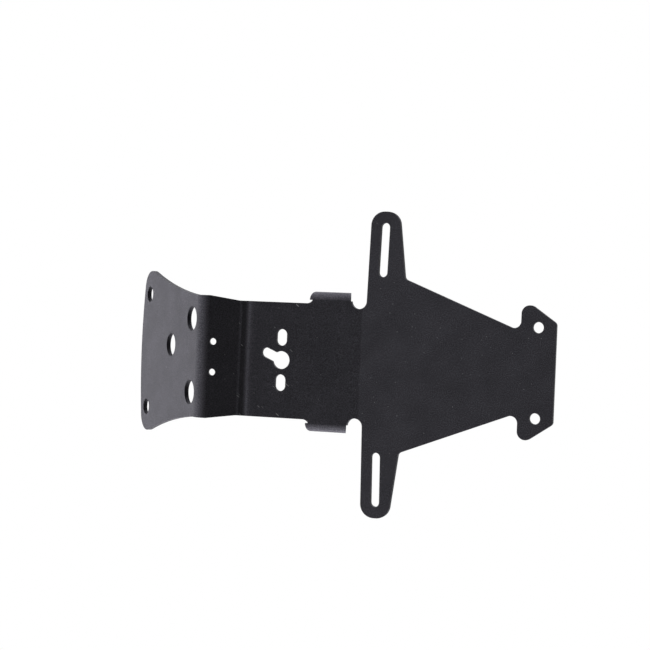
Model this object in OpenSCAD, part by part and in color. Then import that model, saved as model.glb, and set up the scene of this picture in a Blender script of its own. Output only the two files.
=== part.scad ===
// Tail tidy for a motorbike: one laser-cut aluminium sheet, folded to a bracket.
// The plate panel is vertical. X points to the rear of the bike, Y across it and Z up.
// The origin is on the rear face, on the centreline, where the lowest fold begins.

/* [Sheet] */
// Thickness of the sheet
sheet_t = 3; // [2:0.5:4]
// Radius inside the sharp folds
fold_r = 1.5; // [1:0.5:3]

/* [Plate panel] */
// Height of the plate panel, from the lowest fold to its bottom edge
plate_h = 128; // [120:1:145]
// Width over the tips of the two side arms
arm_span = 198; // [180:1:220]
// Width of an arm at its tip
arm_tip_w = 18.6; // [18.2:0.1:24]
// Width of an arm where it leaves the panel
arm_root_w = 25.2; // [23:0.5:30]
// Upward lean of the arms, in degrees
arm_lean = -1.2; // [-3:0.1:1]
// Distance from the lowest fold down to the top edge of the arms
arm_drop = 3; // [2:0.5:6]
// Radius of the corners at an arm's tip
arm_tip_r = 9; // [4:0.5:9]
// Radius of the hollow corner under an arm's root
arm_root_r = 3; // [2:0.5:6]
// Distance from the arm's root up to the end of the tapered edge, measured across
taper_top = 56; // [50:0.5:60]
// Half width of the panel at the foot of the tapered edge
taper_foot = 25.5; // [20:0.5:30]
// Height of the flared foot, measured to the notch
foot_h = 22.5; // [20:0.5:26]
// Half width of the foot at its bottom edge
foot_half = 31.5; // [30:0.5:36]
// Half width at the point of a foot corner, before rounding
ear_half = 47; // [43:0.5:52]
// Radius of the foot's upper corners
ear_r = 5.3; // [3:0.1:6]
// Radius of the foot's lower corners
foot_r = 3; // [2:0.5:5]
// Radius inside the notch above the foot
notch_r = 4.5; // [3:0.5:6]

/* [Plate holes] */
// Length of a plate slot over its round ends
plate_slot_l = 35; // [20:1:45]
// Width of a plate slot
plate_slot_w = 6; // [5:0.1:7]
// Distance from an arm's tip to the middle of its slot
plate_slot_in = 24.8; // [22:0.1:30]
// Distance from an arm's upper edge down to the middle line of its slot
plate_slot_drop = 9.8; // [8:0.1:12]
// Diameter of the two reflector holes in the foot
reflector_d = 7; // [4:0.1:9]
// Spacing of the reflector holes
reflector_pitch = 57; // [40:0.5:60]
// Height of the reflector holes above the bottom edge
reflector_up = 11.5; // [9:0.5:14]

/* [Middle panel] */
// Flat length of the middle panel, between its two folds
middle_l = 79.1; // [76:0.1:100]
// Half width of the middle panel
middle_half = 38; // [36:0.5:42]
// Angle of the lowest fold, in degrees
low_fold = 4; // [1:0.5:12]
// Radius of the round relief at the lowest fold
relief_r = 5.2; // [4:0.1:6]
// Half width of the sheet left between the two reliefs
relief_half = 35.5; // [30:0.5:38]
// Length of a side flange where it joins the panel
flange_l = 26; // [18:0.2:32]
// Overhang of a flange past the hollow corner at its upper end
flange_lug = 2; // [1:0.1:5]
// Slant of a flange's lower end, in millimetres for each millimetre of depth
flange_slant = 0.3; // [0:0.05:0.6]
// Slant of a flange's upper end, in millimetres for each millimetre of depth
flange_lug_slant = 0.5; // [0:0.05:0.6]
// Depth of a side flange, over the sheet
flange_h = 12; // [9:0.5:20]
// Angle of the side folds, in degrees
flange_fold = 90; // [80:1:105]
// Radius inside the side folds
flange_fold_r = 2.5; // [1:0.5:3]
// Distance from the middle panel's side out to the line where a flange begins to bend
flange_step = 2.3; // [1:0.1:4]
// Rounding of a flange's free corners
flange_r = 2.5; // [1:0.5:4]
// Radius of the hollow corner above a flange
flange_hollow_r = 4.6; // [1.5:0.1:5]

/* [Light holes] */
// Height of the light slots and the cable hole above the lowest fold
light_up = 53.6; // [48:0.2:60]
// Spacing of the two light slots
light_pitch = 29.8; // [27:0.1:34]
// Length of a light slot over its round ends, measured across the bike
light_slot_l = 11; // [8:0.5:13]
// Width of a light slot
light_slot_w = 7.2; // [4:0.1:7.8]
// Diameter of the round part of the cable hole
cable_d = 11.8; // [8:0.1:12]
// Width of the narrow end of the cable hole
cable_neck_w = 6.6; // [4:0.1:7.5]
// Distance between the round part and the narrow end
cable_reach = 11; // [8:0.1:12]
// Direction of the narrow end, in degrees from straight up
cable_turn = 24; // [0:1:40]

/* [Step panel] */
// Flat length of the step panel, between its two folds
step_l = 21; // [18.2:0.2:30]
// Angle of the fold under the step panel, in degrees
mid_fold = 8.2; // [1:0.2:15]
// Radius inside the fold under the step panel
mid_fold_r = 26; // [10:1:50]
// Straight length of the sides before they open out
step_from = 1; // [0.5:0.5:6]
// Half width of the sheet at the top fold
top_half = 40.8; // [38:0.1:44]
// Diameter of the two small holes
small_d = 4.5; // [3:0.1:5]
// Spacing of the small holes
small_pitch = 20.3; // [16:0.1:30]
// Distance of the small holes below the top fold
small_drop = 3.2; // [2.9:0.1:14]

/* [Tail panel] */
// Flat length of the tail panel, from the top fold to its end
tail_l = 102.7; // [98:0.1:125]
// Angle of the top fold, in degrees
top_fold = 55.3; // [40:0.5:65]
// Radius inside the top fold
top_fold_r = 8; // [4:0.5:9]
// Half width of the tail panel where its flared sides end
tail_half = 53.7; // [50:0.1:60]
// Distance from the top fold to the end of the flared sides
flare_l = 75; // [66:0.5:78]
// Straight length of the sides before they flare
flare_from = 3; // [1:0.5:8]
// Hollow of the flared sides, below a straight line
flare_hollow = 1.8; // [0.8:0.1:3]
// Radius of the bowed end edge
end_r = 280; // [200:10:600]
// Radius of the end corners
end_corner_r = 12.5; // [8:0.5:14]

/* [Tail holes] */
// Diameter of the two main holes
main_d = 16.6; // [12:0.1:17]
// Spacing of the main holes
main_pitch = 49.4; // [40:0.1:54]
// Distance of the main holes from the top fold
main_up = 9.2; // [9:0.1:14]
// Diameter of the single hole beside the centreline
single_d = 16; // [10:0.1:18]
// Distance of the single hole from the top fold
single_up = 45.7; // [34:0.1:54]
// Distance of the single hole from the centreline
single_side = 5.8; // [0:0.1:10]
// Diameter of the two corner holes
corner_d = 11; // [8:0.1:13]
// Spacing of the corner holes
corner_pitch = 80; // [70:0.5:84]
// Distance of the corner holes from the middle of the end edge
corner_in = 13.5; // [12:0.1:20]

/* [Hidden] */
// Segments of a normal round and of the very large arcs
$fn = 96;
large_fn = 900;
// Overrun of a cut past the sheet
over = 1;
// Angle by which a fold is made too long before it is trimmed
trim_angle = 3;
// Inset of a bent strip from the faces and edges of the panels that it joins
fold_inset = 0.01;
// Depth by which the circle of a rounded corner passes the edges that it joins
round_proud = 0.005;
// Outer radii of the folds that turn their back to the viewer
top_outer_r = top_fold_r + sheet_t;
flange_outer_r = flange_fold_r + sheet_t;
// Half widths and heights of the plate panel
arm_tip_y = arm_span / 2;
plate_slot_y = arm_tip_y - plate_slot_in;
ear_z = -plate_h + foot_h;
relief_y = relief_half + relief_r;
relief_z = relief_r - arm_drop;
flange_from = relief_z + relief_r;
flange_to = flange_from + flange_l;
flange_top = flange_to + flange_lug;
flange_y = middle_half + flange_step;
hollow_y = middle_half + flange_hollow_r;
hollow_z = flange_to + sqrt(pow(flange_hollow_r, 2) - pow(hollow_y - flange_y, 2));

// Point on a line that leaves the point [y, z] at an angle above the cross direction
function along(y, z, angle, reach) = [y + reach * cos(angle), z + reach * sin(angle)];

// Unit vector from one point to another
function heading(from, to) = (to - from) / norm(to - from);

// Half the angle inside the corner at point b, between the points a and c
function half_corner(a, b, c) = acos(heading(b, a) * heading(b, c)) / 2;

// Tangent points of the rounding with radius r at the corner b
function tangents(a, b, c, r) =
    let (reach = r / tan(half_corner(a, b, c)))
    [b + reach * heading(b, a), b + reach * heading(b, c)];

// Middle of the rounding with radius r at the corner b
function round_middle(a, b, c, r) =
    let (way = heading(b, a) + heading(b, c))
    b + way / norm(way) * (r - round_proud) / sin(half_corner(a, b, c));

// True where the outline turns left at b, as it does at an outer corner
function turns_left(a, b, c) = (b[0] - a[0]) * (c[1] - b[1]) - (b[1] - a[1]) * (c[0] - b[0]) > 0;

// Meeting point of two circles, the one to the right of the way from m1 to m2
function meeting(m1, r1, m2, r2) =
    let (
        gap = norm(m2 - m1),
        reach = (gap * gap + r1 * r1 - r2 * r2) / (2 * gap),
        rise = sqrt(r1 * r1 - reach * reach),
        way = (m2 - m1) / gap
    )
    m1 + reach * way + rise * [way[1], -way[0]];

// Outline with rounded corners. Each corner is [point, radius], in anticlockwise order.
module rounded_outline(corners) {
    count = len(corners);
    function pick(i) = corners[(i + count) % count];
    function spot(i) = pick(i)[0];
    difference() {
        union() {
            polygon([
                for (i = [0 : count - 1])
                    for (p = pick(i)[1] > 0
                        ? tangents(spot(i - 1), spot(i), spot(i + 1), pick(i)[1])
                        : [spot(i)])
                        p
            ]);
            for (i = [0 : count - 1])
                if (pick(i)[1] > 0 && turns_left(spot(i - 1), spot(i), spot(i + 1)))
                    translate(round_middle(spot(i - 1), spot(i), spot(i + 1), pick(i)[1]))
                        circle(r = pick(i)[1]);
        }
        for (i = [0 : count - 1])
            if (pick(i)[1] > 0 && !turns_left(spot(i - 1), spot(i), spot(i + 1)))
                translate(round_middle(spot(i - 1), spot(i), spot(i + 1), pick(i)[1]))
                    circle(r = pick(i)[1]);
    }
}

// Both mirrored halves of a shape drawn beside the centreline
module both_sides() {
    children();
    mirror([1, 0]) children();
}

// Slot with round ends along the cross direction, turned by an angle
module slot(length, width, angle = 0) {
    rotate(angle) {
        square([length - width, width], center = true);
        for (side = [-1, 1])
            translate([side * (length - width) / 2, 0]) circle(d = width);
    }
}

// Flat sheet behind the rear face, from an outline with Y across and Z up
module sheet() {
    translate([-sheet_t, 0, 0]) rotate([90, 0, 90]) linear_extrude(sheet_t) children();
}

// Bent strip of a fold around the Y axis, rising from the X axis by an angle. It is
// bent a little further and trimmed there, so that the next panel meets it on one plane.
module bent_strip(angle, inner_r, half_width) {
    outer_r = inner_r + sheet_t;
    difference() {
        rotate([90, 0, 0]) rotate_extrude(angle = angle + trim_angle)
            translate([inner_r + fold_inset, fold_inset - half_width])
                square([sheet_t - 2 * fold_inset, 2 * (half_width - fold_inset)]);
        rotate([0, -angle, 0]) translate([inner_r / 2, -half_width - over, 0])
            cube([outer_r, 2 * (half_width + over), outer_r * sin(2 * trim_angle)]);
    }
}

// Fold towards the front of the bike, at a panel's end, with its children past it
module fold_forward(angle, inner_r, half_width) {
    outer_r = inner_r + sheet_t;
    translate([-outer_r, 0, 0]) {
        bent_strip(angle, inner_r, half_width);
        rotate([0, -angle, 0]) translate([outer_r, 0, 0]) children();
    }
}

// Fold towards the rear of the bike, at a panel's end, with its children past it
module fold_back(angle, inner_r, half_width) {
    translate([inner_r, 0, 0]) {
        mirror([1, 0, 0]) bent_strip(angle, inner_r, half_width);
        rotate([0, angle, 0]) translate([-inner_r, 0, 0]) children();
    }
}

// Half of the plate panel: foot corner, notch, tapered edge and arm
module plate_half_outline() {
    arm_top_root = [relief_y, -arm_drop];
    arm_top_tip = along(arm_top_root[0], arm_top_root[1], arm_lean,
        (arm_tip_y - relief_y) / cos(arm_lean));
    arm_low_tip = [arm_tip_y, arm_top_tip[1] - arm_tip_w];
    arm_low_root = [taper_top, -arm_drop - arm_root_w];
    rounded_outline([
        [[0, -plate_h], 0],
        [[foot_half, -plate_h], foot_r],
        [[ear_half, ear_z], ear_r],
        [[taper_foot, ear_z], notch_r],
        [arm_low_root, arm_root_r],
        [arm_low_tip, arm_tip_r],
        [arm_top_tip, arm_tip_r],
        [arm_top_root, 0],
        [[relief_y, 0], 0],
        [[0, 0], 0]
    ]);
}

// Plate panel with its two slots and the reflector holes
module plate_panel() {
    slot_mid = along(relief_y, -arm_drop - plate_slot_drop, arm_lean, plate_slot_y - relief_y);
    sheet() difference() {
        both_sides() plate_half_outline();
        both_sides() {
            translate(slot_mid) slot(plate_slot_l, plate_slot_w, arm_lean);
            translate([reflector_pitch / 2, -plate_h + reflector_up]) circle(d = reflector_d);
        }
    }
}

// Half of the middle panel, up to where the flange bends away under the hollow corner
module middle_half_outline() {
    difference() {
        polygon([
            [0, 0], [flange_y, 0], [flange_y, hollow_z],
            [middle_half, hollow_z], [middle_half, middle_l], [0, middle_l]
        ]);
        translate([hollow_y - round_proud, hollow_z]) circle(r = flange_hollow_r);
    }
}

// Middle panel with the light slots and the cable hole
module middle_panel() {
    sheet() difference() {
        both_sides() middle_half_outline();
        both_sides() translate([light_pitch / 2, light_up]) slot(light_slot_l, light_slot_w);
        translate([0, light_up]) cable_hole();
    }
}

// Keyhole-shaped opening for the light's cable
module cable_hole() {
    circle(d = cable_d);
    rotate(90 - cable_turn) {
        translate([cable_reach / 2, 0]) square([cable_reach, cable_neck_w], center = true);
        translate([cable_reach, 0]) circle(d = cable_neck_w);
    }
}

// Outline of a side flange, with depth behind the rear face across and height up
module flange_outline() {
    rounded_outline([
        [[-over, flange_from], 0],
        [[0, flange_from], 0],
        [[flange_h, flange_from + flange_h * flange_slant], flange_r],
        [[flange_h, flange_top - flange_h * flange_lug_slant], flange_r],
        [[0, flange_top], 0],
        [[-over, flange_top], 0]
    ]);
}

// Side flange with its bend, folded towards the front of the bike
module side_flange() {
    intersection() {
        translate([-flange_outer_r, flange_y, flange_top / 2]) rotate([-90, 0, 0]) {
            bent_strip(flange_fold, flange_fold_r, flange_top / 2 + over);
            rotate([0, -flange_fold, 0]) translate([flange_fold_r, -flange_top / 2 - over, 0])
                cube([sheet_t, flange_top + 2 * over, 2 * flange_h]);
        }
        translate([0, flange_y - 2 * flange_h, 0]) rotate([90, 0, 180])
            linear_extrude(4 * flange_h) flange_outline();
    }
}

// Round reliefs that free the flanges from the arms
module fold_reliefs() {
    for (side = [-1, 1])
        translate([0, side * relief_y, relief_z]) {
            rotate([0, 90, 0]) cylinder(r = relief_r, h = 4 * sheet_t, center = true);
            translate([0, side * relief_r, 0])
                cube([4 * sheet_t, 2 * relief_r, 2 * relief_r], center = true);
        }
}

// Step panel, whose sides open out towards the top fold
module step_panel() {
    sheet() difference() {
        polygon([
            [-middle_half, 0], [middle_half, 0], [middle_half, step_from], [top_half, step_l],
            [-top_half, step_l], [-middle_half, step_from]
        ]);
        both_sides() translate([small_pitch / 2, step_l - small_drop]) circle(d = small_d);
    }
}

// Outline of the tail panel: hollow flared sides, round corners and a bowed end
module tail_outline() {
    foot = [top_half, flare_from];
    head = [tail_half, flare_l];
    chord = norm(head - foot);
    flare_r = chord * chord / (8 * flare_hollow) + flare_hollow / 2;
    way = heading(foot, head);
    flare_mid = (foot + head) / 2 + (flare_r - flare_hollow - round_proud) * [way[1], -way[0]];
    end_mid = [0, tail_l - end_r];
    corner_mid = meeting(flare_mid, flare_r + end_corner_r, end_mid, end_r - end_corner_r);
    side_touch = flare_mid + flare_r * heading(flare_mid, corner_mid);
    end_touch = end_mid + end_r * heading(end_mid, corner_mid);
    difference() {
        union() {
            both_sides() {
                polygon([[0, 0], [top_half, 0], foot, side_touch, end_touch, [0, end_touch[1]]]);
                translate(corner_mid) circle(r = end_corner_r + round_proud);
            }
            intersection() {
                translate(end_mid) circle(r = end_r, $fn = large_fn);
                translate([-end_touch[0], end_touch[1] - over])
                    square([2 * end_touch[0], end_corner_r + over]);
            }
        }
        both_sides() translate(flare_mid) circle(r = flare_r, $fn = large_fn);
    }
}

// Tail panel with its main, single and corner holes
module tail_panel() {
    sheet() difference() {
        tail_outline();
        both_sides() {
            translate([main_pitch / 2, main_up]) circle(d = main_d);
            translate([corner_pitch / 2, tail_l - corner_in]) circle(d = corner_d);
        }
        translate([single_side, single_up]) circle(d = single_d);
    }
}

// The folded sheet: each panel stands on the fold at the end of the one below it
module tail_bracket() {
    color([0.17, 0.17, 0.18]) {
        difference() {
            union() {
                plate_panel();
                fold_back(low_fold, fold_r, relief_y) middle_panel();
            }
            fold_reliefs();
        }
        past_low_fold() {
            side_flange();
            mirror([0, 1, 0]) side_flange();
            translate([0, 0, middle_l]) fold_back(mid_fold, mid_fold_r, middle_half) {
                step_panel();
                translate([0, 0, step_l]) fold_forward(top_fold, top_fold_r, top_half)
                    tail_panel();
            }
        }
    }
}

// Moves its children to the foot of the middle panel
module past_low_fold() {
    translate([fold_r, 0, 0]) rotate([0, low_fold, 0]) translate([-fold_r, 0, 0]) children();
}

tail_bracket();
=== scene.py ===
import bmesh
import bpy
from mathutils import Matrix, Vector

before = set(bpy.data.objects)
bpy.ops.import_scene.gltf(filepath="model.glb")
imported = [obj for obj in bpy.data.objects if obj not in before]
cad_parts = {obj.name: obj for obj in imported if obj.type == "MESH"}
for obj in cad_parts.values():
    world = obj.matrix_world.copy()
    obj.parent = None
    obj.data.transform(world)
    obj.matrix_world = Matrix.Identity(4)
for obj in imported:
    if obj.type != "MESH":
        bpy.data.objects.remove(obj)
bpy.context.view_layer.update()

bl_info = {
    "name": "Tail tidy",
    "version": (1, 0, 0),
    "blender": (4, 5, 0),
    "location": "View3D > Sidebar > Tail tidy",
    "description": "Finish, light and camera for a folded number-plate bracket",
    "category": "Object",
}

BRACKET = "tail_bracket"

# The photograph's camera, fitted to the bracket's corners and holes
FRAME_PX = 650
CAMERA_PLACE = Vector((1.0273, 0.0376, -0.3528))
CAMERA_RIGHT = Vector((-0.3454, 0.0400, -0.9376))
CAMERA_DOWN = Vector((-0.0024, -0.9991, -0.0418))
CAMERA_FOCAL_PX = 1678.0
SENSOR_WIDTH_MM = 36.0
CLIP_START = 0.05
CLIP_END = 20.0

# The powder coat: its grain from darker to lighter spots, as places in the noise and shares of the
# coat's colour, its broad clouding, its roughness and the depth of its grain in metres
GRAIN_DARK_AT = 0.34
GRAIN_DARK = 0.6
GRAIN_LIGHT_AT = 0.64
GRAIN_LIGHT = 1.6
CLOUD_SCALE = 55.0
CLOUD_DARK = 0.88
CLOUD_LIGHT = 1.1
ROUGHNESS_LOW = 0.40
ROUGHNESS_HIGH = 0.54
BUMP_STRENGTH = 0.35
BUMP_DEPTH = 0.00006
COAT_IOR = 1.47
COAT_SPECULAR = 0.08

# Heights in metres of the fold above the middle panel, between which its shade and highlight are
# painted into the coat as dark and light lines, how far the lines wander as a share of that
# stretch, and how much lighter or darker the coat is painted at each share of it; above the fold
# it stays painted darker
FOLD_LOW = 0.0700
FOLD_HIGH = 0.0860
FOLD_PAINT_WANDER = 0.08
FOLD_PAINTED_LEVELS = (
    (0.02, 1.0),
    (0.20, 1.15),
    (0.32, 1.6),
    (0.38, 2.5),
    (0.43, 2.3),
    (0.50, 1.1),
    (0.57, 0.5),
    (0.71, 0.5),
    (0.76, 1.6),
    (0.80, 1.6),
    (0.86, 0.85),
    (1.00, 0.85),
)

# The flanges' folds, where a highlight is painted into the coat: distance from the middle and
# stretch in metres over which the painted highlight fades in, the heights between which the
# flanges stand, how much lighter the painted highlight makes the coat, and how far its edge
# wanders as a share of the stretch
FLANGE_START = 0.0404
FLANGE_FADE = 0.0009
FLANGE_LOW = 0.008
FLANGE_HIGH = 0.045
FLANGE_HIGHLIGHT = 1.7
FLANGE_WANDER = 0.4

# Light specks in the coat, and short slanting nicks beside the fold. The nicks start at a height
# in metres, and lie where the surface's normal points rearwards by more than NICK_FACING
SPECK_COLOUR = (0.2, 0.2, 0.21, 1.0)
NICK_COLOUR = (0.35, 0.35, 0.36, 1.0)
NICK_LOW = 0.035
NICK_SLANT = (-0.7, 0.0, 0.0)
NICK_STRETCH = (1.0, 1.0, 4.0)
NICK_SCALE = 420.0
NICK_SIZE = 0.145
NICK_FACING = 0.5

# Colour of the floor as it is seen, and as it throws light back to the bracket, and
# the paleness that only the camera and reflections see, beside which shadows still show
FLOOR_SEEN = (0.25, 0.25, 0.25, 1.0)
FLOOR_FOR_LIGHT = (0.05, 0.05, 0.05, 1.0)
FLOOR_PALENESS = 0.6
FLOOR_ROUGHNESS = 0.9
FLOOR_SEGMENTS = 96

# The even light's ground holds up to one share of the way up, and its sky starts at another
GROUND_UNTIL = 0.3
SKY_FROM = 0.8

# Each softbox: name, place, point it aims at, width, height, power in watts, and whether
# the bracket's gloss shows it
MIDDLE = (0.0, 0.0, 0.03)
OVER_TAIL = (-0.02, 0.0, 0.13)
SOFTBOXES = (
    ("top_softbox", (-0.4, 0.0, 1.25), OVER_TAIL, 1.0, 0.9, 0.9, True),
    ("high_softbox", (0.34, 0.0, 2.05), MIDDLE, 0.4, 0.4, 88.0, False),
    ("right_softbox", (-0.15, 1.2, 0.1), MIDDLE, 0.6, 0.6, 19.0, False),
    ("left_softbox", (-0.15, -1.2, 0.1), MIDDLE, 0.6, 0.6, 27.0, False),
)


# Small helpers for node trees

def clear_tree(owner):
    tree = owner.node_tree
    tree.nodes.clear()
    return tree


def add_node(tree, kind, **values):
    node = tree.nodes.new(kind)
    for name, value in values.items():
        setattr(node, name, value)
    return node


def set_inputs(node, **values):
    for name, value in values.items():
        node.inputs[name.replace("_", " ")].default_value = value
    return node


def link(tree, start, end):
    tree.links.new(start, end)


def ramp(tree, source, stops):
    node = add_node(tree, "ShaderNodeValToRGB")
    elements = node.color_ramp.elements
    while len(elements) < len(stops):
        elements.new(0.5)
    for element, (place, shade) in zip(elements, stops):
        element.position = place
        element.color = shade
    link(tree, source, node.inputs["Fac"])
    return node


def grey(level):
    return (level, level, level, 1.0)


def math_node(tree, operation, *values):
    node = add_node(tree, "ShaderNodeMath", operation=operation)
    for socket, value in zip(node.inputs, values):
        if isinstance(value, (int, float)):
            socket.default_value = value
        else:
            link(tree, value, socket)
    return node.outputs["Value"]


def between(tree, value, low, high):
    above = math_node(tree, "GREATER_THAN", value, low)
    below = math_node(tree, "LESS_THAN", value, high)
    return math_node(tree, "MULTIPLY", above, below)


def mix_colours(tree, blend, factor, first, second):
    node = add_node(tree, "ShaderNodeMix", data_type="RGBA", blend_type=blend)
    sockets = (node.inputs[0], node.inputs[6], node.inputs[7])
    for socket, value in zip(sockets, (factor, first, second)):
        if isinstance(value, (int, float, tuple)):
            socket.default_value = value
        else:
            link(tree, value, socket)
    return node.outputs[2]


# Finish of the bracket

# Painted highlight and painted shade: light and dark lines across the fold above the middle panel,
# and painted shade on the coat above it
def paint_fold_light_and_shade(tree, place, unevenness):
    split = add_node(tree, "ShaderNodeSeparateXYZ")
    link(tree, place, split.inputs["Vector"])
    share = 1.0 / (FOLD_HIGH - FOLD_LOW)
    along = math_node(tree, "MULTIPLY_ADD", split.outputs["Z"], share, -FOLD_LOW * share)
    wander = math_node(tree, "MULTIPLY_ADD", unevenness, FOLD_PAINT_WANDER, -FOLD_PAINT_WANDER / 2)
    stretch = math_node(tree, "ADD", along, wander)
    stops = [(height, grey(level)) for height, level in FOLD_PAINTED_LEVELS]
    painted_ramp = ramp(tree, stretch, stops)
    return painted_ramp.outputs["Color"]


# Painted highlight over the two folds from the middle panel to its side flanges, where the coat is
# made paler as if lit
def paint_flange_fold_highlight(tree, place, unevenness):
    split = add_node(tree, "ShaderNodeSeparateXYZ")
    link(tree, place, split.inputs["Vector"])
    side = math_node(tree, "ABSOLUTE", split.outputs["Y"])
    wander = math_node(tree, "MULTIPLY_ADD", unevenness, FLANGE_WANDER, -FLANGE_WANDER / 2)
    across = math_node(tree, "MULTIPLY_ADD", side, 1.0 / FLANGE_FADE, -FLANGE_START / FLANGE_FADE)
    pale = math_node(tree, "ADD", across, wander)
    beside = between(tree, split.outputs["Z"], FLANGE_LOW, FLANGE_HIGH)
    amount = math_node(tree, "MULTIPLY", pale, beside)
    stops = [(0.0, grey(1.0)), (0.5, grey(FLANGE_HIGHLIGHT)), (1.0, grey(FLANGE_HIGHLIGHT))]
    painted_ramp = ramp(tree, amount, stops)
    return painted_ramp.outputs["Color"]


# Small marks in a few cells of a pattern, each of its own strength
def flecks(tree, place, scale, size, rarity):
    cells = add_node(tree, "ShaderNodeTexVoronoi")
    set_inputs(cells, Scale=scale)
    link(tree, place, cells.inputs["Vector"])
    near = math_node(tree, "LESS_THAN", cells.outputs["Distance"], size)
    split = add_node(tree, "ShaderNodeSeparateColor")
    link(tree, cells.outputs["Color"], split.inputs["Color"])
    chosen = math_node(tree, "GREATER_THAN", split.outputs["Red"], rarity)
    shown = math_node(tree, "MULTIPLY", near, chosen)
    return math_node(tree, "MULTIPLY", shown, split.outputs["Green"])


# Short slanting nicks beside the fold above the middle panel, on the side that faces rearwards
def fold_nicks(tree, place, facing, rarity):
    slant = add_node(tree, "ShaderNodeMapping", vector_type="TEXTURE")
    slant.inputs["Rotation"].default_value = NICK_SLANT
    slant.inputs["Scale"].default_value = NICK_STRETCH
    link(tree, place, slant.inputs["Vector"])
    split = add_node(tree, "ShaderNodeSeparateXYZ")
    link(tree, place, split.inputs["Vector"])
    beside_fold = between(tree, split.outputs["Z"], NICK_LOW, FOLD_HIGH)
    direction = add_node(tree, "ShaderNodeSeparateXYZ")
    link(tree, facing, direction.inputs["Vector"])
    rearwards = math_node(tree, "GREATER_THAN", direction.outputs["X"], NICK_FACING)
    area = math_node(tree, "MULTIPLY", beside_fold, rearwards)
    nicks = flecks(tree, slant.outputs["Vector"], NICK_SCALE, NICK_SIZE, rarity)
    return math_node(tree, "MULTIPLY", nicks, area)


def powder_coat(settings):
    material = bpy.data.materials.new("Black Powder Coat")
    material.use_nodes = True
    tree = clear_tree(material)
    coordinates = add_node(tree, "ShaderNodeTexCoord").outputs
    place = coordinates["Object"]

    fine = add_node(tree, "ShaderNodeTexNoise")
    set_inputs(fine, Scale=settings.grain_scale, Detail=3.0, Roughness=0.6)
    link(tree, place, fine.inputs["Vector"])
    broad = add_node(tree, "ShaderNodeTexNoise")
    set_inputs(broad, Scale=CLOUD_SCALE, Detail=2.0, Roughness=0.5)
    link(tree, place, broad.inputs["Vector"])

    coat = tuple(settings.coat_colour)
    dark = tuple(GRAIN_DARK * channel for channel in coat)
    light = tuple(GRAIN_LIGHT * channel for channel in coat)
    grain_stops = [(GRAIN_DARK_AT, dark), (0.5, coat), (GRAIN_LIGHT_AT, light)]
    grain = ramp(tree, fine.outputs["Fac"], grain_stops)
    cloud_stops = [(0.3, grey(CLOUD_DARK)), (0.7, grey(CLOUD_LIGHT))]
    cloud = ramp(tree, broad.outputs["Fac"], cloud_stops)
    coloured = mix_colours(tree, "MULTIPLY", 1.0, grain.outputs["Color"], cloud.outputs["Color"])
    # painted highlight and shade across the fold above the middle panel, and painted shade above
    # it
    fold_painted_light = paint_fold_light_and_shade(tree, place, broad.outputs["Fac"])
    coloured = mix_colours(tree, "MULTIPLY", 1.0, coloured, fold_painted_light)
    # painted highlight over the folds to the side flanges
    flange_highlight = paint_flange_fold_highlight(tree, place, broad.outputs["Fac"])
    coloured = mix_colours(tree, "MULTIPLY", 1.0, coloured, flange_highlight)

    specks = flecks(tree, place, settings.speck_scale, settings.speck_size, settings.speck_rarity)
    coloured = mix_colours(tree, "MIX", specks, coloured, SPECK_COLOUR)
    nicks = fold_nicks(tree, place, coordinates["Normal"], settings.nick_rarity)
    coloured = mix_colours(tree, "MIX", nicks, coloured, NICK_COLOUR)

    rough_stops = [(0.3, grey(ROUGHNESS_LOW)), (0.7, grey(ROUGHNESS_HIGH))]
    rough = ramp(tree, fine.outputs["Fac"], rough_stops)
    bump = add_node(tree, "ShaderNodeBump")
    set_inputs(bump, Strength=BUMP_STRENGTH, Distance=BUMP_DEPTH)
    link(tree, fine.outputs["Fac"], bump.inputs["Height"])

    shader = add_node(tree, "ShaderNodeBsdfPrincipled")
    shader.inputs["IOR"].default_value = COAT_IOR
    shader.inputs["Specular IOR Level"].default_value = COAT_SPECULAR
    link(tree, coloured, shader.inputs["Base Color"])
    link(tree, rough.outputs["Color"], shader.inputs["Roughness"])
    link(tree, bump.outputs["Normal"], shader.inputs["Normal"])
    out = add_node(tree, "ShaderNodeOutputMaterial")
    link(tree, shader.outputs["BSDF"], out.inputs["Surface"])
    return material


# Stage, lamps and camera

def pale_floor_material():
    material = bpy.data.materials.new("Pale Floor")
    material.use_nodes = True
    tree = material.node_tree
    shader = tree.nodes["Principled BSDF"]
    shader.inputs["Roughness"].default_value = FLOOR_ROUGHNESS
    seen = background_rays(tree)
    colour = mix_colours(tree, "MIX", seen, FLOOR_FOR_LIGHT, FLOOR_SEEN)
    link(tree, colour, shader.inputs["Base Color"])
    shader.inputs["Emission Color"].default_value = grey(1.0)
    paleness = math_node(tree, "MULTIPLY", seen, FLOOR_PALENESS)
    link(tree, paleness, shader.inputs["Emission Strength"])
    return material


def add_floor(height, radius):
    mesh = bpy.data.meshes.new("floor")
    sheet = bmesh.new()
    bmesh.ops.create_circle(sheet, cap_ends=True, segments=FLOOR_SEGMENTS, radius=radius)
    bmesh.ops.translate(sheet, verts=sheet.verts, vec=(0, 0, height))
    sheet.to_mesh(mesh)
    sheet.free()
    floor = bpy.data.objects.new("floor", mesh)
    bpy.context.scene.collection.objects.link(floor)
    mesh.materials.append(pale_floor_material())


def add_softbox(name, place, aim, width, height, power, shine):
    lamp = bpy.data.lights.new(name, "AREA")
    lamp.shape = "RECTANGLE"
    lamp.size = width
    lamp.size_y = height
    lamp.energy = power
    holder = bpy.data.objects.new(name, lamp)
    holder.location = place
    holder.visible_glossy = shine
    holder.rotation_euler = (Vector(aim) - Vector(place)).to_track_quat("-Z", "Y").to_euler()
    bpy.context.scene.collection.objects.link(holder)


# The rays that show the pale background: the camera's and those in gloss and glass
def background_rays(tree):
    path = add_node(tree, "ShaderNodeLightPath").outputs
    reflected = math_node(tree, "MAXIMUM", path["Is Glossy Ray"], path["Is Transmission Ray"])
    return math_node(tree, "MAXIMUM", path["Is Camera Ray"], reflected)


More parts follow.
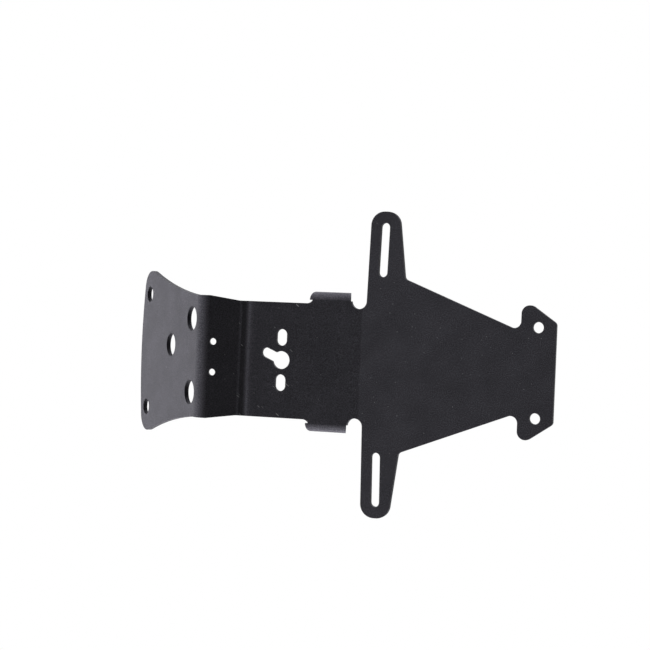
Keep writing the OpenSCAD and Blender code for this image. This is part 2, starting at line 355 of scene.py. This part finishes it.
def light_world(sky, ground):
    world = bpy.data.worlds.new("Studio")
    bpy.context.scene.world = world
    world.use_nodes = True
    tree = clear_tree(world)
    seen = add_node(tree, "ShaderNodeBackground")
    set_inputs(seen, Strength=1.0, Color=grey(1.0))
    way = add_node(tree, "ShaderNodeSeparateXYZ")
    link(tree, add_node(tree, "ShaderNodeTexCoord").outputs["Generated"], way.inputs["Vector"])
    height = math_node(tree, "MULTIPLY_ADD", way.outputs["Z"], 0.5, 0.5)
    fill = ramp(tree, height, [(GROUND_UNTIL, grey(ground)), (SKY_FROM, grey(sky))])
    lit = add_node(tree, "ShaderNodeBackground")
    set_inputs(lit, Strength=1.0)
    link(tree, fill.outputs["Color"], lit.inputs["Color"])
    mix = add_node(tree, "ShaderNodeMixShader")
    out = add_node(tree, "ShaderNodeOutputWorld")
    link(tree, background_rays(tree), mix.inputs[0])
    link(tree, lit.outputs[0], mix.inputs[1])
    link(tree, seen.outputs[0], mix.inputs[2])
    link(tree, mix.outputs[0], out.inputs["Surface"])


def add_camera():
    data = bpy.data.cameras.new("photo_camera")
    camera = bpy.data.objects.new("photo_camera", data)
    bpy.context.scene.collection.objects.link(camera)
    back = CAMERA_RIGHT.cross(-CAMERA_DOWN)
    turn = Matrix((CAMERA_RIGHT, -CAMERA_DOWN, back)).transposed()
    camera.matrix_world = Matrix.Translation(CAMERA_PLACE) @ turn.to_4x4()
    data.sensor_width = SENSOR_WIDTH_MM
    data.lens = CAMERA_FOCAL_PX / FRAME_PX * SENSOR_WIDTH_MM
    data.clip_start = CLIP_START
    data.clip_end = CLIP_END
    bpy.context.scene.camera = camera


class CoatSettings(bpy.types.PropertyGroup):
    coat_colour: bpy.props.FloatVectorProperty(
        name="Coat colour", description="Colour of the powder coat",
        subtype="COLOR", size=4, min=0, max=1, default=(0.0545, 0.053, 0.062, 1.0))
    grain_scale: bpy.props.FloatProperty(
        name="Grain", description="Scale of the coat's fine grain", default=1500.0, min=100.0)
    speck_scale: bpy.props.FloatProperty(
        name="Speck scale", description="Scale of the pattern of light specks",
        default=500.0, min=50.0)
    speck_size: bpy.props.FloatProperty(
        name="Speck size", description="Size of a light speck in its cell",
        default=0.16, min=0.0, max=0.5)
    speck_rarity: bpy.props.FloatProperty(
        name="Speck rarity", description="Share of the cells without a speck",
        default=0.977, min=0.0, max=1.0)
    nick_rarity: bpy.props.FloatProperty(
        name="Nick rarity", description="Share of the cells without a nick",
        default=0.3, min=0.0, max=1.0)


class StageSettings(bpy.types.PropertyGroup):
    floor_height: bpy.props.FloatProperty(
        name="Floor height", description="Height of the floor under the bracket",
        subtype="DISTANCE", unit="LENGTH", default=-0.62)
    floor_radius: bpy.props.FloatProperty(
        name="Floor radius", description="Radius of the round floor",
        subtype="DISTANCE", unit="LENGTH", default=6.0, min=0.5)
    sky: bpy.props.FloatProperty(
        name="Sky", description="Strength of the even light from above", default=0.12, min=0.0)
    ground: bpy.props.FloatProperty(
        name="Ground", description="Strength of the even light from below", default=0.01, min=0.0)


class TAILTIDY_OT_bracket(bpy.types.Operator):
    """Finish the folded bracket with its black powder coat"""

    bl_idname = "tailtidy.bracket"
    bl_label = "Powder-coated bracket"

    def execute(self, context):
        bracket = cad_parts[BRACKET]
        coat = powder_coat(context.scene.tailtidy_coat)
        if not bracket.material_slots:
            bracket.data.materials.append(coat)
        for slot in bracket.material_slots:
            slot.material = coat
        return {"FINISHED"}


class TAILTIDY_OT_stage(bpy.types.Operator):
    """Set up the floor, the softboxes, the white background and the camera"""

    bl_idname = "tailtidy.stage"
    bl_label = "Stage"

    def execute(self, context):
        settings = context.scene.tailtidy_stage
        add_camera()
        light_world(settings.sky, settings.ground)
        add_floor(settings.floor_height, settings.floor_radius)
        for softbox in SOFTBOXES:
            add_softbox(*softbox)
        return {"FINISHED"}


COAT_CONTROLS = (
    "coat_colour", "grain_scale", "speck_scale", "speck_size", "speck_rarity", "nick_rarity")
STAGE_CONTROLS = ("floor_height", "floor_radius", "sky", "ground")


class TAILTIDY_PT_panel(bpy.types.Panel):
    bl_label = "Tail tidy"
    bl_idname = "TAILTIDY_PT_panel"
    bl_space_type = "VIEW_3D"
    bl_region_type = "UI"
    bl_category = "Tail tidy"

    def draw(self, context):
        layout = self.layout
        for name in COAT_CONTROLS:
            layout.prop(context.scene.tailtidy_coat, name)
        layout.operator(TAILTIDY_OT_bracket.bl_idname)
        for name in STAGE_CONTROLS:
            layout.prop(context.scene.tailtidy_stage, name)
        layout.operator(TAILTIDY_OT_stage.bl_idname)


CLASSES = (
    CoatSettings,
    StageSettings,
    TAILTIDY_OT_bracket,
    TAILTIDY_OT_stage,
    TAILTIDY_PT_panel,
)


def register():
    for item in CLASSES:
        bpy.utils.register_class(item)
    bpy.types.Scene.tailtidy_coat = bpy.props.PointerProperty(type=CoatSettings)
    bpy.types.Scene.tailtidy_stage = bpy.props.PointerProperty(type=StageSettings)


def unregister():
    del bpy.types.Scene.tailtidy_stage
    del bpy.types.Scene.tailtidy_coat
    for item in reversed(CLASSES):
        bpy.utils.unregister_class(item)


def main():
    register()
    bpy.context.scene.view_settings.view_transform = "Standard"
    bpy.ops.tailtidy.stage()
    bpy.ops.tailtidy.bracket()


if __name__ == "__main__":
    main()
